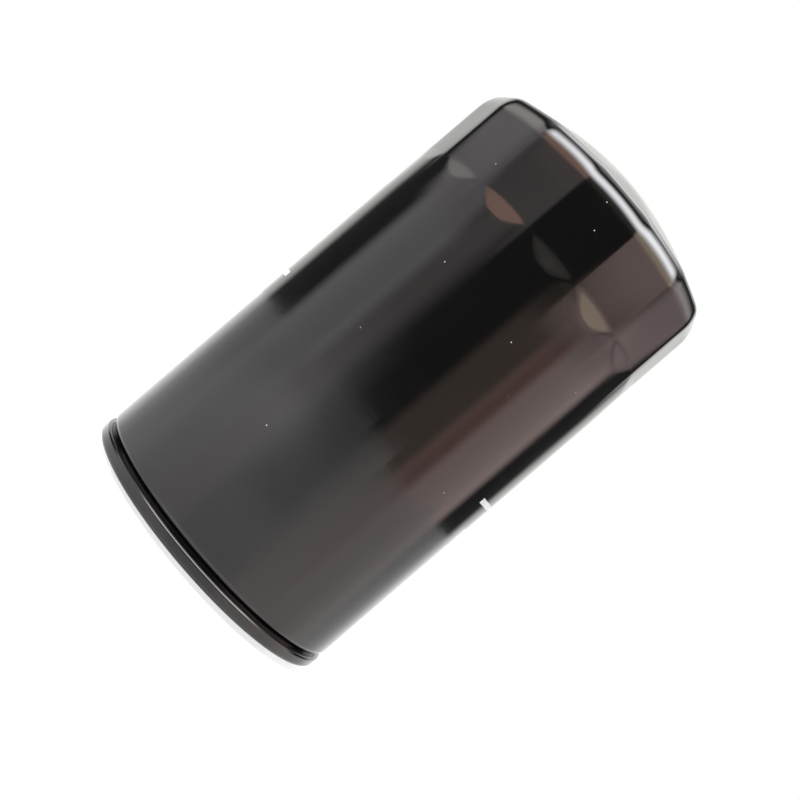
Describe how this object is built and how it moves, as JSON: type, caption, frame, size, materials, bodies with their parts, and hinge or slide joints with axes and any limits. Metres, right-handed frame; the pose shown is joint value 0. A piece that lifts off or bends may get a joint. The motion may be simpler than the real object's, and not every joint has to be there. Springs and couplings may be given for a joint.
{
  "type": "spin-on oil filter",
  "caption": "Long spin-on oil filter: glossy black drawn steel can with wrench flats under a domed end, rolled base seam, face gasket, and a sprung paper element with a bypass valve inside.",
  "frame": {"origin": "centre of the gasket's sealing face, on the thread's axis, at the lowest plane", "axes": "+Z along the thread's axis from the gasket towards the domed end; the middle of one wrench flat faces -Y"},
  "size_m": [0.0956, 0.0956, 0.169],
  "materials": {
    "enamel": "glossy black baked enamel over drawn steel",
    "gasket_rubber": "smooth black nitrile rubber with a light film of oil",
    "plate_steel": "pressed steel, thin zinc plating",
    "valve_rubber": "satin red-brown silicone rubber",
    "spring_steel": "oiled spring steel wire and strip",
    "seal_rubber": "black nitrile rubber",
    "cap_steel": "thin tinned steel sheet",
    "paper": "resin-impregnated cellulose filter paper, fine grain",
    "resin": "set plastisol adhesive"
  },
  "bodies": {
    "housing": {"outer_can": "enamel", "seam_cover": "enamel", "gasket": "gasket_rubber", "tapping_plate": "plate_steel", "support_spring": "spring_steel", "anti_drain_spring": "spring_steel"},
    "drain_valve": {"anti_drain_valve": "valve_rubber"},
    "element": {"neck_seal": "seal_rubber", "lower_end_cap": "cap_steel", "lower_adhesive": "resin", "pleated_media": "paper", "media_seam_clip": "cap_steel", "centre_tube": "cap_steel", "upper_adhesive": "resin", "upper_end_cap": "cap_steel", "bypass_seat": "cap_steel", "bypass_cage": "cap_steel", "bypass_spring": "spring_steel"},
    "bypass_valve": {"bypass_disc": "cap_steel", "bypass_seal": "seal_rubber", "bypass_rivet": "plate_steel"}
  },
  "joints": [
    {"name": "element_float", "type": "slide", "parent": "housing", "child": "element", "axis": [0, 0, 1], "range_m": [0, 0.0015], "stiffness_N_per_m": 12000, "springref_m": -0.009, "deforming": ["support_spring"]},
    {"name": "drain_valve_lift", "type": "slide", "parent": "housing", "child": "drain_valve", "axis": [0, 0, 1], "range_m": [0, 0.0015], "stiffness_N_per_m": 400, "springref_m": -0.0015, "deforming": ["anti_drain_spring"]},
    {"name": "bypass_opening", "type": "slide", "parent": "element", "child": "bypass_valve", "axis": [0, 0, -1], "range_m": [0, 0.005], "stiffness_N_per_m": 4500, "springref_m": -0.005, "deforming": ["bypass_spring"]}
  ]
}
